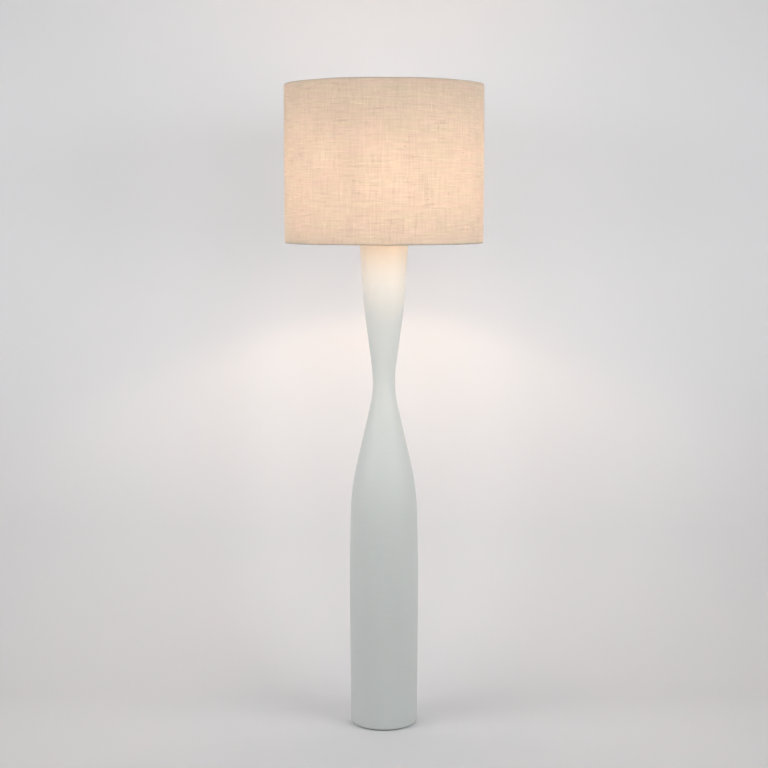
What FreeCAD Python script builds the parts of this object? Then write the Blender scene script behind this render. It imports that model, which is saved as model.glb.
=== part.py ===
import FreeCAD, Part
import math
import os
from FreeCAD import Vector

# Column floor lamp: a turned, painted column with a cloth drum shade. Millimetres. +Z is up, the origin is
# on the floor under the column's axis, and +Y is the back, where the mains cord enters the foot.

# ---- Driving dimensions -----------------------------------------------------------------------------

# Turned column. Its outline is a chain of straight runs: each run has a height, each corner a radius, and
# each bend says how far the corner's arc reaches along the runs beside it.
foot_r = 76.9
barrel_height = 354.0
belly_r = 79.9
shoulder_height = 199.0
shoulder_r = 75.9
neck_height = 236.0
waist_r = 21.4
flare_height = 186.0
flare_r = 46.2
collar_height = 154.0
top_r = 56.0
foot_edge = 6.0
belly_bend = 85.0
shoulder_bend = 66.0
waist_bend = 50.0
flare_bend = 30.0
top_edge = 2.0
joint_rise = 13.0          # from the waist's corner up to the glue joint, at the thinnest place
tenon_r = 13.0
tenon_length = 30.0
tenon_clearance = 0.2
glue_space = 2.0

# Foot
felt_thickness = 2.0
felt_inset = 8.0           # from the foot's side to the felt's edge
cover_thickness = 3.2
cover_r = 65.5
cover_clearance = 0.4
cavity_r = 56.0
cavity_depth = 62.0
weight_thickness = 36.0
weight_clearance = 0.5
weight_chamfer = 2.5
cover_screw_count = 4
cover_screw_r = 1.75
cover_screw_length = 16.0
cover_screw_head_r = 3.4

# Cord inlet in the back of the foot
inlet_height = 20.0
inlet_bore_r = 3.6
inlet_wall = 1.9
inlet_flange_r = 9.0
inlet_flange_thickness = 2.5
inlet_proud = 0.8          # how far the flange stands out of the foot's side
inlet_clearance = 0.3

# Lead inside the rod, and the threaded rod that clamps the column
core_r = 1.0
core_spacing = 1.3         # from the lead's axis to each core's
core_clearance = 0.1
sheath_wall = 0.7
lead_clearance = 0.9
rod_wall = 1.0
rod_tail = 2.5             # below the bottom nut
rod_hole_clearance = 0.5
thread_clearance = 0.1
core_lead_in = 3.0         # a core's straight length outside its terminal
wire_bend_share = 0.45     # how much of the shorter run beside it an arc of a core takes
slot_width = 0.7
slot_depth = 0.8

# Fasteners on the rod
base_washer_r = 22.0
base_washer_thickness = 2.5
tag_thickness = 0.8
tag_r = 8.5
tag_reach = 20.0
lock_washer_r = 9.0
lock_washer_thickness = 1.2
lock_tooth_count = 12
lock_notch_r = 0.75
base_nut_flats = 17.0
base_nut_height = 6.0
top_washer_r = 17.0
top_washer_thickness = 2.0
top_nut_flats = 14.0
top_nut_height = 5.0

# Terminal block
pole_count = 3
pole_pitch = 10.0
block_depth = 17.0
block_wall = 1.9
block_height = 7.6
tower_height = 5.4
tower_r = 3.3
block_offset = 31.0        # from the column's axis to the block's middle
sleeve_r = 2.5
sleeve_bore_r = 1.5
sleeve_length = 15.0
clamp_spacing = 7.6        # between the two clamping screws of a pole
clamp_screw_r = 1.25
clamp_screw_head_r = 2.0
clamp_screw_head = 1.6
clamp_screw_length = 4.4
block_clearance = 0.3
fixing_screw_r = 1.3
fixing_screw_head_r = 1.55
fixing_screw_head = 1.55
fixing_screw_bite = 2.4

# Lampholder
neck_wall = 3.4
neck_length = 8.0
rod_top_inset = 1.0        # from the neck's top down to the rod's end
dome_height = 14.0
dome_spring = 4.6          # from the neck's top up to the dome's widest place
dome_bend = 5.7
dome_inner_spring = 7.0
cap_wall = 1.9
cap_wall_height = 8.0
ledge_width = 2.6
dome_edge = 1.0
insert_flange = 6.0
insert_boss = 5.0
shell_wall = 0.4
shell_length = 25.0
skirt_air = 3.9            # between the screw shell and the skirt
skirt_wall = 2.0
skirt_thread_length = 24.0
skirt_shoulder = 2.8
skirt_overlap = 8.0        # how far the skirt's collar covers the cap
collar_wall = 2.2
lip_thickness = 1.5
lip_overlap = 3.0
holder_clearance = 0.2
grub_screw_r = 1.5
strip_thickness = 0.5
strip_width = 4.0
post_size = 5.0
post_offset = 8.0
post_screw_r = 1.2
post_screw_head_r = 1.9
post_screw_head = 1.2
contact_rise = 1.5         # from the insert's boss to the top of the tongue

# Shade rings and the shade's fitter
ring_clearance = 0.3
ring_height = 7.0
ring_flange_width = 8.0
ring_flange_thickness = 3.0
ring_collar_wall = 3.4
ring_notch_count = 16
ring_notch_r = 1.4
seat_gap = 0.3             # between the seats of pieces that turn or lift apart
friction_washer_thickness = 1.0
fitter_clearance = 0.45
fitter_width = 9.8
fitter_thickness = 2.0
fitter_drop = 59.3         # from the shade's bottom edge up to the fitter ring
arm_count = 3
arm_r = 1.5
arm_foot = 30.0            # how far in from the wire an arm has risen to the fitter ring
arm_bend = 12.0
arm_angle = 90.0           # the first arm points to the back

# Drum shade
shade_r = 225.0
shade_height = 354.0
cloth_thickness = 0.8
liner_thickness = 0.6
liner_gap = 0.2
wire_r = 1.3
hem_gap = 0.8
hem_tuck = 7.0
slit_clearance = 0.8
seam_angle = 90.0          # the cloth's overlap and the wires' butt joints are at the back

# Lamp bulb, with the E27 cap's real pitch and diameter
thread_pitch = 3.629
bulb_cap_r = 13.2
bulb_cap_root_r = 12.3
bulb_cap_wall = 0.6
bulb_cap_ridges = 5
bulb_cap_collar = 3.0
bulb_fit = 0.3
contact_gap = 0.3
tip_r = 5.4
tip_thickness = 1.0
insulator_height = 2.8
globe_r = 30.0
globe_rise = 78.0          # from the contact tip to the globe's middle
globe_seam_drop = 12.0     # from the globe's middle down to its seam on the housing
bulb_wall = 1.5
housing_rim = 11.5         # the housing's upright part below the LED board
housing_bend = 7.0
led_board_r = 23.0
led_board_thickness = 1.6
led_ledge = 1.5
led_board_clearance = 0.2
led_count = 10
led_circle_r = 16.0
led_size = 3.5
led_height = 0.7
driver_width = 16.0
driver_height = 22.0
driver_thickness = 1.2
capacitor_r = 4.0
capacitor_length = 11.0
coil_width = 10.0
coil_depth = 7.0
coil_height = 9.0
chip_width = 6.0
chip_depth = 2.0
chip_height = 5.0
part_spacing = 3.0         # below the LED board, and between parts on the driver board

# ---- Places that follow from the sizes --------------------------------------------------------------

foot_z = felt_thickness
belly_z = foot_z + barrel_height
shoulder_z = belly_z + shoulder_height
waist_z = shoulder_z + neck_height
flare_z = waist_z + flare_height
column_top = flare_z + collar_height
joint_z = waist_z + joint_rise

cavity_bottom = foot_z + cover_thickness
cavity_top = cavity_bottom + cavity_depth
weight_bottom = cavity_top - weight_thickness
washer_bottom = weight_bottom - base_washer_thickness
tag_bottom = washer_bottom - tag_thickness
lock_washer_bottom = tag_bottom - lock_washer_thickness
base_nut_bottom = lock_washer_bottom - base_nut_height
rod_bottom = base_nut_bottom - rod_tail

lead_r = core_spacing + core_r + core_clearance + sheath_wall
rod_bore_r = lead_r + lead_clearance
rod_r = rod_bore_r + rod_wall
nut_bore_r = rod_r + thread_clearance

neck_bottom = column_top + top_washer_thickness + top_nut_height
neck_top = neck_bottom + neck_length
rod_top = neck_top - rod_top_inset
ledge_z = neck_top + dome_height
cap_top = ledge_z + cap_wall_height
flange_top = ledge_z + insert_flange
boss_top = flange_top + insert_boss
skirt_bottom = cap_top - skirt_overlap
shoulder_top = cap_top + holder_clearance + skirt_shoulder
skirt_top = shoulder_top + skirt_thread_length

shell_bore_r = bulb_cap_r + bulb_fit
shell_r = shell_bore_r + shell_wall
skirt_bore_r = shell_r + skirt_air
skirt_r = skirt_bore_r + skirt_wall
insert_r = skirt_r
cap_bore_r = insert_r + holder_clearance
cap_r = cap_bore_r + cap_wall
collar_bore_r = cap_r + holder_clearance
neck_r = rod_r + neck_wall

ring_bore_r = skirt_r + ring_clearance
ring_flange_r = ring_bore_r + ring_flange_width
lower_ring_top = shoulder_top + ring_height
fitter_bottom = lower_ring_top + seat_gap
fitter_middle = fitter_bottom + fitter_thickness / 2
friction_washer_bottom = fitter_bottom + fitter_thickness + seat_gap
upper_ring_bottom = friction_washer_bottom + friction_washer_thickness + seat_gap
fitter_bore_r = skirt_r + fitter_clearance
fitter_r = fitter_bore_r + fitter_width

shade_bottom = fitter_bottom - fitter_drop
shade_top = shade_bottom + shade_height
hem_bore_r = wire_r + hem_gap
hem_r = hem_bore_r + cloth_thickness
wire_circle_r = shade_r - hem_r
bottom_wire_z = shade_bottom + hem_r
top_wire_z = shade_top - hem_r

contact_top = boss_top + contact_rise
tip_bottom = contact_top + contact_gap
insulator_bottom = tip_bottom + tip_thickness / 2
bulb_cap_bottom = insulator_bottom + insulator_height
bulb_cap_top = bulb_cap_bottom + bulb_cap_ridges * thread_pitch + bulb_cap_collar
globe_z = tip_bottom + globe_rise
seam_z = globe_z - globe_seam_drop
seam_r = math.sqrt(globe_r ** 2 - globe_seam_drop ** 2)
led_board_top = seam_z - led_ledge

block_bottom = cavity_bottom
block_top = block_bottom + block_height
pole_z = block_bottom + block_wall + sleeve_r

UP = Vector(0, 0, 1)
BACK = Vector(0, 1, 0)
RIGHT = Vector(1, 0, 0)
CENTRE = Vector(0, 0, 0)


# ---- Helpers ----------------------------------------------------------------------------------------

def rounded_edges(corners, bends):
    """Straight runs through the corners. At an inner corner, an arc reaches its bend's length along them."""
    edges = []
    start = corners[0]
    for before, corner, after, bend in zip(corners, corners[1:], corners[2:], bends):
        if not bend:
            edges.append(Part.LineSegment(start, corner).toShape())
            start = corner
            continue
        back = (before - corner).normalize()
        ahead = (after - corner).normalize()
        inward = (back + ahead).normalize()
        half_angle = back.getAngle(ahead) / 2
        arc_start = corner + back * bend
        arc_end = corner + ahead * bend
        arc_r = bend * math.tan(half_angle)
        arc_middle = corner + inward * (bend / math.cos(half_angle) - arc_r)
        edges.append(Part.LineSegment(start, arc_start).toShape())
        edges.append(Part.Arc(arc_start, arc_middle, arc_end).toShape())
        start = arc_end
    edges.append(Part.LineSegment(start, corners[-1]).toShape())
    return edges


def at(radius, height):
    """A point of an outline that is turned about Z."""
    return Vector(radius, 0, height)


def round_the_axis(radius, angle, height):
    """A point at an angle in degrees about the column's axis, counted from +X."""
    return Vector(radius * math.cos(math.radians(angle)), radius * math.sin(math.radians(angle)), height)


def turned_edges(edges):
    """The solid of revolution about Z of a closed outline."""
    return Part.Face(Part.Wire(edges)).revolve(CENTRE, UP, 360)


def turned(*corners):
    """The solid of revolution about Z of a polygon of (radius, height) corners."""
    points = [at(radius, height) for radius, height in corners]
    return turned_edges(Part.makePolygon(points + points[:1]).Edges)


def rod(radius, bottom, height, x=0, y=0):
    """An upright cylinder."""
    return Part.makeCylinder(radius, height, Vector(x, y, bottom))


def ring(radius, bore_r, bottom, height):
    """An upright ring about the column's axis."""
    return rod(radius, bottom, height).cut(rod(bore_r, bottom, height))


def block(low, high):
    """A box from its low corner to its high corner."""
    size = high - low
    return Part.makeBox(size.x, size.y, size.z, low)


def about_axis(shape, count, first_angle=0):
    """Copies of a shape, evenly spaced about the column's axis."""
    copies = []
    for index in range(count):
        copy = shape.copy()
        copy.rotate(CENTRE, UP, first_angle + 360 * index / count)
        copies.append(copy)
    return copies


def join(shapes):
    """One solid out of shapes that meet."""
    return shapes[0].multiFuse(shapes[1:]).removeSplitter()


def wide_bends(corners):
    """As large a bend at each inner corner as the shorter run beside it has room for."""
    runs = [(after - before).Length for before, after in zip(corners, corners[1:])]
    return [wire_bend_share * min(pair) for pair in zip(runs, runs[1:])]


def wire_along(corners, radius, bends):
    """A round wire along straight runs and arcs."""
    path = Part.Wire(rounded_edges(corners, bends))
    section = Part.Wire(Part.makeCircle(radius, corners[0], corners[1] - corners[0]))
    return path.makePipeShell([section], True, False)


def hex_nut(flats, bottom, height, bore_r):
    """A hexagon nut with chamfered corners."""
    corner_r = flats / 2 / math.cos(math.radians(30))
    chamfer = (corner_r - flats / 2) * math.tan(math.radians(30))
    corners = [round_the_axis(corner_r, 60 * side, bottom) for side in range(6)]
    prism = Part.Face(Part.makePolygon(corners + corners[:1])).extrude(UP * height)
    chamfered = turned((0, bottom), (flats / 2, bottom), (corner_r, bottom + chamfer),
                       (corner_r, bottom + height - chamfer), (flats / 2, bottom + height),
                       (0, bottom + height))
    return prism.common(chamfered).cut(rod(bore_r, bottom, height))


def save(name, shape):
    """Writes one sub-part to its own file."""
    shape.exportStep(os.path.join("parts", name + ".step"))


# ---- Column -----------------------------------------------------------------------------------------

def column_blank():
    """The whole turned outline as one solid, before it is bored and parted."""
    corners = [at(0, foot_z), at(foot_r, foot_z), at(belly_r, belly_z), at(shoulder_r, shoulder_z),
               at(waist_r, waist_z), at(flare_r, flare_z), at(top_r, column_top), at(0, column_top)]
    bends = [foot_edge, belly_bend, shoulder_bend, waist_bend, flare_bend, top_edge]
    edges = rounded_edges(corners, bends)
    edges.append(Part.LineSegment(corners[-1], corners[0]).toShape())
    return turned_edges(edges)


def cover_screw_places():
    """The centres of the cover's screws, halfway across the ledge between the cavity and the cover's edge."""
    circle_r = (cavity_r + cover_r) / 2
    step = 360 / cover_screw_count
    return [round_the_axis(circle_r, step * (index + 0.5), foot_z) for index in range(cover_screw_count)]


def inlet_seat():
    """The distance from the column's axis to the flat that the inlet's flange seats on."""
    return foot_r + inlet_proud - inlet_flange_thickness


def column_lower():
    """The lower length: cavity, cover rebate, cord hole, rod bore and the mortise at the waist."""
    column = column_blank().common(rod(2 * belly_r, foot_z, joint_z - foot_z))
    hollows = [
        rod(cover_r + cover_clearance, foot_z, cover_thickness),
        rod(cavity_r, cavity_bottom, cavity_depth),
        rod(rod_r + rod_hole_clearance, cavity_top, joint_z - cavity_top),
        rod(tenon_r + tenon_clearance, joint_z - tenon_length - glue_space, tenon_length + glue_space),
        Part.makeCylinder(inlet_bore_r + inlet_wall + inlet_clearance, belly_r,
                          Vector(0, 0, inlet_height), BACK),
        Part.makeCylinder(inlet_flange_r + inlet_clearance, belly_r,
                          Vector(0, inlet_seat(), inlet_height), BACK),
    ]
    for place in cover_screw_places():
        hollows.append(rod(cover_screw_r + thread_clearance, foot_z, cover_screw_length, place.x, place.y))
    return column.cut(hollows)


def column_upper():
    """The upper length: the flare, with the tenon below it and the rod bore."""
    flare = column_blank().common(rod(2 * belly_r, joint_z, column_top - joint_z))
    tenon = rod(tenon_r, joint_z - tenon_length, tenon_length)
    bore = rod(rod_r + rod_hole_clearance, joint_z - tenon_length, column_top - joint_z + tenon_length)
    return join([flare, tenon]).cut(bore)


def lamp_rod():
    """Threaded tube that clamps the column and carries the lampholder, with the lead inside it."""
    return ring(rod_r, rod_bore_r, rod_bottom, rod_top - rod_bottom)


# ---- Foot -------------------------------------------------------------------------------------------

def felt_pad():
    """Felt disc that the lamp stands on."""
    return rod(foot_r - felt_inset, 0, felt_thickness)


def base_weight():
    """Cast disc that seats on the top of the cavity, with its lower edge chamfered."""
    radius = cavity_r - weight_clearance
    disc = turned((0, weight_bottom), (radius - weight_chamfer, weight_bottom),
                  (radius, weight_bottom + weight_chamfer), (radius, cavity_top), (0, cavity_top))
    return disc.cut(rod(rod_r + rod_hole_clearance, weight_bottom, weight_thickness))


def base_washer():
    """Wide plain washer under the weight."""
    return ring(base_washer_r, rod_r + rod_hole_clearance, washer_bottom, base_washer_thickness)


def base_lock_washer():
    """Thin washer with a row of teeth cut in its rim."""
    washer = ring(lock_washer_r, nut_bore_r, lock_washer_bottom, lock_washer_thickness)
    notch = rod(lock_notch_r, lock_washer_bottom, lock_washer_thickness, lock_washer_r)
    return washer.cut(about_axis(notch, lock_tooth_count))


def base_nut():
    """Nut that pulls the weight and both lengths of wood together."""
    return hex_nut(base_nut_flats, base_nut_bottom, base_nut_height, nut_bore_r)


def earth_tag():
    """Flat ring on the rod with a tab towards the terminal block, and an eye for the earth wire."""
    tab = block(Vector(-strip_width / 2, 0, tag_bottom), Vector(strip_width / 2, tag_reach, washer_bottom))
    eye = rod(strip_width / 2, tag_bottom, tag_thickness, 0, tag_reach)
    tag = join([rod(tag_r, tag_bottom, tag_thickness), tab, eye])
    return tag.cut([rod(nut_bore_r, tag_bottom, tag_thickness),
                    rod(core_r + core_clearance, tag_bottom, tag_thickness, 0, tag_reach)])


def base_cover():
    """Hardboard disc in the rebate, countersunk for its screws and drilled for the terminal block's."""
    cover = rod(cover_r, foot_z, cover_thickness)
    cuts = []
    for place in cover_screw_places():
        cuts.append(rod(cover_screw_r + thread_clearance, foot_z, cover_thickness, place.x, place.y))
        cuts.append(Part.makeCone(cover_screw_head_r + thread_clearance, cover_screw_r + thread_clearance,
                                  cover_screw_head_r - cover_screw_r, place))
    for x in fixing_screw_places():
        cuts.append(rod(fixing_screw_r + thread_clearance, foot_z, cover_thickness, x, block_offset))
    return cover.cut(cuts)


def cover_screws():
    """Countersunk wood screws with a straight slot, driven up into the ledge."""
    screws = []
    for place in cover_screw_places():
        head = Part.makeCone(cover_screw_head_r, cover_screw_r, cover_screw_head_r - cover_screw_r, place)
        shank = rod(cover_screw_r, foot_z, cover_screw_length - cover_screw_r, place.x, place.y)
        point = Part.makeCone(cover_screw_r, 0, cover_screw_r,
                              place + UP * (cover_screw_length - cover_screw_r))
        slot = block(place + Vector(-cover_screw_head_r, -slot_width / 2, 0),
                     place + Vector(cover_screw_head_r, slot_width / 2, slot_depth))
        screws.append(join([head, shank, point]).cut(slot))
    return Part.makeCompound(screws)


def cord_inlet():
    """Flanged bush in the back of the foot, through which a mains cord enters."""
    bush_r = inlet_bore_r + inlet_wall
    flange_top = inlet_seat() + inlet_flange_thickness
    inner_end = cavity_r - inlet_wall
    corners = [at(inlet_bore_r, inner_end), at(bush_r, inner_end), at(bush_r, inlet_seat()),
               at(inlet_flange_r, inlet_seat()), at(inlet_flange_r, flange_top), at(inlet_bore_r, flange_top),
               at(inlet_bore_r, inner_end)]
    rim = inlet_flange_thickness / 2
    bush = turned_edges(rounded_edges(corners, [0, 0, 0, rim, 0]))
    bush.rotate(CENTRE, RIGHT, -90)
    bush.translate(UP * inlet_height)
    return bush


# ---- Terminal block and wiring ----------------------------------------------------------------------

def pole_places():
    """The poles' X places: live, earth and neutral."""
    return [pole_pitch * (index - (pole_count - 1) / 2) for index in range(pole_count)]


def fixing_screw_places():
    """The X places of the block's own screws, between its poles."""
    return [(left + right) / 2 for left, right in zip(pole_places(), pole_places()[1:])]


def clamp_places():
    """The X and Y places of the clamping screws, two to a pole."""
    return [(x, block_offset + side * clamp_spacing / 2) for x in pole_places() for side in (-1, 1)]


def terminal_block():
    """Moulded body with a tower over each clamping screw and a bore through each pole."""
    half_length = pole_places()[-1] + sleeve_r + block_wall
    low = Vector(-half_length, block_offset - block_depth / 2, block_bottom)
    high = Vector(half_length, block_offset + block_depth / 2, block_top)
    solids = [block(low, high)]
    cuts = []
    for x, y in clamp_places():
        solids.append(rod(tower_r, block_bottom, block_height + tower_height, x, y))
        cuts.append(rod(clamp_screw_head_r + block_clearance, pole_z, block_height + tower_height, x, y))
    for x in pole_places():
        socket = Part.makeCylinder(sleeve_r + thread_clearance, block_depth, Vector(x, low.y, pole_z), BACK)
        cuts.append(socket)
    for x in fixing_screw_places():
        seat = block_top - fixing_screw_head
        cuts.append(rod(fixing_screw_head_r + thread_clearance, seat, block_height, x, block_offset))
        cuts.append(rod(fixing_screw_r + thread_clearance, block_bottom, block_height, x, block_offset))
    return join(solids).cut(cuts)


def terminal_sleeves():
    """Brass tubes in the block, each tapped for its two clamping screws."""
    start = block_offset - sleeve_length / 2
    sleeves = []
    for x in pole_places():
        sleeve = Part.makeCylinder(sleeve_r, sleeve_length, Vector(x, start, pole_z), BACK)
        bore = Part.makeCylinder(sleeve_bore_r, sleeve_length, Vector(x, start, pole_z), BACK)
        taps = [rod(clamp_screw_r + thread_clearance, pole_z, sleeve_r, place_x, y)
                for place_x, y in clamp_places() if place_x == x]
        sleeves.append(sleeve.cut([bore] + taps))
    return Part.makeCompound(sleeves)


def slotted_screw(x, y, bottom, radius, length, head_r, head_height):
    """Upright cheese-head screw with its head on top."""
    head = rod(head_r, bottom + length, head_height, x, y)
    top = bottom + length + head_height
    slot = block(Vector(x - head_r, y - slot_width / 2, top - slot_depth),
                 Vector(x + head_r, y + slot_width / 2, top))
    return join([rod(radius, bottom, length, x, y), head]).cut(slot)


def terminal_screws():
    """Clamping screws that stop at the top of the wire in each sleeve."""
    return Part.makeCompound([
        slotted_screw(x, y, pole_z + core_r + core_clearance, clamp_screw_r, clamp_screw_length,
                      clamp_screw_head_r, clamp_screw_head) for x, y in clamp_places()])


def terminal_fixing_screws():
    """Screws through the block, between its poles, into the cover."""
    bottom = block_bottom - fixing_screw_bite
    length = block_top - fixing_screw_head - bottom
    return Part.makeCompound([
        slotted_screw(x, block_offset, bottom, fixing_screw_r, length, fixing_screw_head_r, fixing_screw_head)
        for x in fixing_screw_places()])


def core(side):
    """One insulated core, from its terminal sleeve up the rod to its post in the lampholder."""
    block_face = block_offset - block_depth / 2
    pole_x = side * pole_places()[-1]
    core_x = side * core_spacing
    post_x = side * post_offset
    post_bottom = ledge_z - strip_thickness - post_size
    corners = [
        Vector(pole_x, block_offset - core_r, pole_z),
        Vector(pole_x, block_face - core_lead_in, pole_z),
        Vector(core_x, 0, pole_z),
        Vector(core_x, 0, neck_top + core_r / 2),
        Vector(post_x, 0, post_bottom - core_lead_in),
        Vector(post_x, 0, post_bottom + post_size - core_r),
    ]
    bends = wide_bends(corners)
    # The core stands upright by the rod's lower end, so the arc below it may use no more than that drop.
    bends[1] = min(bends[1], rod_bottom - pole_z)
    return wire_along(corners, core_r, bends)


def live_core():
    """Core from the live pole to the centre contact's post."""
    return core(1)


def neutral_core():
    """Core from the neutral pole to the side contact's post."""
    return core(-1)


def lead_sheath():
    """Sheath round both cores, from just inside the rod's lower end to just inside its upper end."""
    bottom = rod_bottom + 2 * core_r
    length = rod_top - 4 * core_r - bottom
    lumens = [rod(core_r + core_clearance, bottom, length, side * core_spacing) for side in (-1, 1)]
    return rod(lead_r, bottom, length).cut(lumens)


def earth_wire():
    """From the block's middle pole up to the eye of the earth tag."""
    turn_y = block_offset - block_depth / 2 - core_lead_in - core_r
    corners = [
        Vector(0, block_offset - core_r, pole_z),
        Vector(0, turn_y, pole_z),
        Vector(0, turn_y, tag_bottom - 4 * core_r),
        Vector(0, tag_reach, tag_bottom - 2 * core_r),
        Vector(0, tag_reach, washer_bottom),
    ]
    return wire_along(corners, core_r, wide_bends(corners))


# ---- Lampholder -------------------------------------------------------------------------------------

def top_washer():
    """Washer on the column's top face."""
    return ring(top_washer_r, rod_r + rod_hole_clearance, column_top, top_washer_thickness)


def top_nut():
    """Nut that clamps the column from above."""
    return hex_nut(top_nut_flats, column_top + top_washer_thickness, top_nut_height, nut_bore_r)


def holder_cap():
    """Domed cap that screws on the rod, with an inner ledge for the insert."""
    inner_dome_r = cap_bore_r - ledge_width
    corners = [
        at(nut_bore_r, neck_bottom),
        at(neck_r, neck_bottom),
        at(neck_r, neck_top - cap_wall),
        at(cap_r, neck_top + dome_spring),
        at(cap_r, cap_top),
        at(cap_bore_r, cap_top),
        at(cap_bore_r, ledge_z),
        at(inner_dome_r, ledge_z),
        at(inner_dome_r, neck_top + dome_inner_spring),
        at(nut_bore_r, neck_top),
        at(nut_bore_r, neck_bottom),
    ]
    bends = [dome_edge, dome_edge, dome_bend, 0, 0, 0, 0, cap_wall, 0]
    cap = turned_edges(rounded_edges(corners, bends))
    screw_hole = Part.makeCylinder(grub_screw_r + thread_clearance, 2 * neck_r,
                                   Vector(0, 0, neck_bottom + neck_length / 2), RIGHT)
    return cap.cut(screw_hole)


def holder_grub_screw():
    """Slotted grub screw that locks the cap on the rod."""
    height = neck_bottom + neck_length / 2
    screw = Part.makeCylinder(grub_screw_r, neck_r - nut_bore_r, Vector(nut_bore_r, 0, height), RIGHT)
    slot = block(Vector(neck_r - slot_depth, -slot_width / 2, height - grub_screw_r),
                 Vector(neck_r, slot_width / 2, height + grub_screw_r))
    return screw.cut(slot)


def side_strip_x():
    """How far out the side contact stands, just outside the screw shell."""
    return shell_r + ring_clearance


def holder_insert():
    """Moulded insert that carries the shell and the contacts, with slots for the two strips."""
    boss_r = shell_bore_r - ring_clearance
    insert = turned((0, ledge_z), (insert_r, ledge_z), (insert_r, flange_top), (boss_r, flange_top),
                    (boss_r, boss_top), (0, boss_top))
    room = Vector(thread_clearance, thread_clearance, 0)
    half_strip = Vector(0, strip_width / 2, 0)
    cuts = []
    for x in (post_offset - post_size / 2 - strip_thickness, -side_strip_x() - strip_thickness):
        low = Vector(x, 0, ledge_z) - half_strip - room
        high = Vector(x + strip_thickness, 0, boss_top) + half_strip + room
        cuts.append(block(low, high))
    return insert.cut(cuts)


def strip(points):
    """Flat strip, bent to the outline of the points in the XZ plane and strip_width wide along Y."""
    outline = [Vector(x, -strip_width / 2, z) for x, z in points]
    return Part.Face(Part.makePolygon(outline + outline[:1])).extrude(Vector(0, strip_width, 0))


def centre_contact():
    """Live strip: from its post through the insert, and over the boss to the middle of the socket."""
    foot_x = post_offset + post_size / 2
    rise_x = post_offset - post_size / 2 - strip_thickness
    tongue = contact_top - strip_thickness
    return strip([
        (foot_x, ledge_z - strip_thickness),
        (rise_x, ledge_z - strip_thickness),
        (rise_x, tongue - strip_thickness),
        (-rise_x, tongue),
        (-rise_x, contact_top),
        (rise_x + strip_thickness, contact_top - strip_thickness),
        (rise_x + strip_thickness, ledge_z),
        (foot_x, ledge_z),
    ])


def side_contact():
    """Neutral strip: from its post through the insert to the outside of the screw shell."""
    foot_x = -post_offset + post_size / 2
    rise_x = -side_strip_x()
    return strip([
        (foot_x, ledge_z - strip_thickness),
        (foot_x, ledge_z),
        (rise_x, ledge_z),
        (rise_x, boss_top),
        (rise_x - strip_thickness, boss_top),
        (rise_x - strip_thickness, ledge_z - strip_thickness),
    ])


def holder_terminals():
    """Two brass posts under the insert, each drilled for its core and its screw."""
    top = ledge_z - strip_thickness
    posts = []
    for side in (-1, 1):
        middle = Vector(side * post_offset, 0, top - post_size / 2)
        half = Vector(post_size, post_size, post_size) / 2
        post = block(middle - half, middle + half)
        wire_hole = rod(core_r + core_clearance, top - post_size, post_size, middle.x)
        tap = Part.makeCylinder(post_screw_r + thread_clearance, post_size, middle, Vector(side, 0, 0))
        posts.append(post.cut([wire_hole, tap]))
    return Part.makeCompound(posts)


def holder_terminal_screws():
    """The posts' clamping screws, with their heads outwards."""
    height = ledge_z - strip_thickness - post_size / 2
    screws = []
    for side in (-1, 1):
        outwards = Vector(side, 0, 0)
        start = Vector(side * (post_offset + core_r + core_clearance), 0, height)
        face = Vector(side * (post_offset + post_size / 2), 0, height)
        shank = Part.makeCylinder(post_screw_r, (face - start).Length, start, outwards)
        head = Part.makeCylinder(post_screw_head_r, post_screw_head, face, outwards)
        slot = block(Vector(-slot_depth / 2, -post_screw_head_r, -slot_width / 2),
                     Vector(slot_depth / 2, post_screw_head_r, slot_width / 2))
        slot.translate(face + outwards * post_screw_head)
        screws.append(join([shank, head]).cut(slot))
    return Part.makeCompound(screws)


def screw_shell():
    """Plain brass shell that the bulb's cap turns in."""
    return ring(shell_r, shell_bore_r, flange_top, shell_length)


def holder_skirt():
    """Outer sleeve: a collar over the cap, a shoulder for the shade ring, the thread and a lip at the top."""
    collar_r = collar_bore_r + collar_wall
    lip_bore_r = skirt_bore_r - lip_overlap
    shoulder_bottom = cap_top + holder_clearance
    return turned((collar_bore_r, skirt_bottom), (collar_r, skirt_bottom), (collar_r, shoulder_top),
                  (skirt_r, shoulder_top), (skirt_r, skirt_top), (lip_bore_r, skirt_top),
                  (lip_bore_r, skirt_top - lip_thickness), (skirt_bore_r, skirt_top - lip_thickness),
                  (skirt_bore_r, shoulder_bottom), (collar_bore_r, shoulder_bottom))


def shade_ring(flange_bottom, collar_bottom):
    """Threaded ring: a notched flange and a collar, drawn with a plain bore."""
    flange = ring(ring_flange_r, ring_bore_r, flange_bottom, ring_flange_thickness)
    collar_height = ring_height - ring_flange_thickness
    collar = ring(ring_bore_r + ring_collar_wall, ring_bore_r, collar_bottom, collar_height)
    notch = rod(ring_notch_r, flange_bottom, ring_flange_thickness, ring_flange_r)
    return join([flange, collar]).cut(about_axis(notch, ring_notch_count))


def shade_ring_lower():
    """Stands on the skirt's shoulder with its flange up, and carries the fitter."""
    return shade_ring(lower_ring_top - ring_flange_thickness, shoulder_top)


def shade_ring_upper():
    """Clamps the fitter from above with its flange down."""
    return shade_ring(upper_ring_bottom, upper_ring_bottom + ring_flange_thickness)


# ---- Shade ------------------------------------------------------------------------------------------

def run(start, end):
    """A straight edge of an outline."""
    return Part.LineSegment(start, end).toShape()


def fold(start_r, end_r, height, reach):
    """A half circle of the hem's outline, round the wire: over it, or under it where reach is negative."""
    return Part.Arc(at(start_r, height), at(wire_circle_r, height + reach), at(end_r, height)).toShape()


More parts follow.
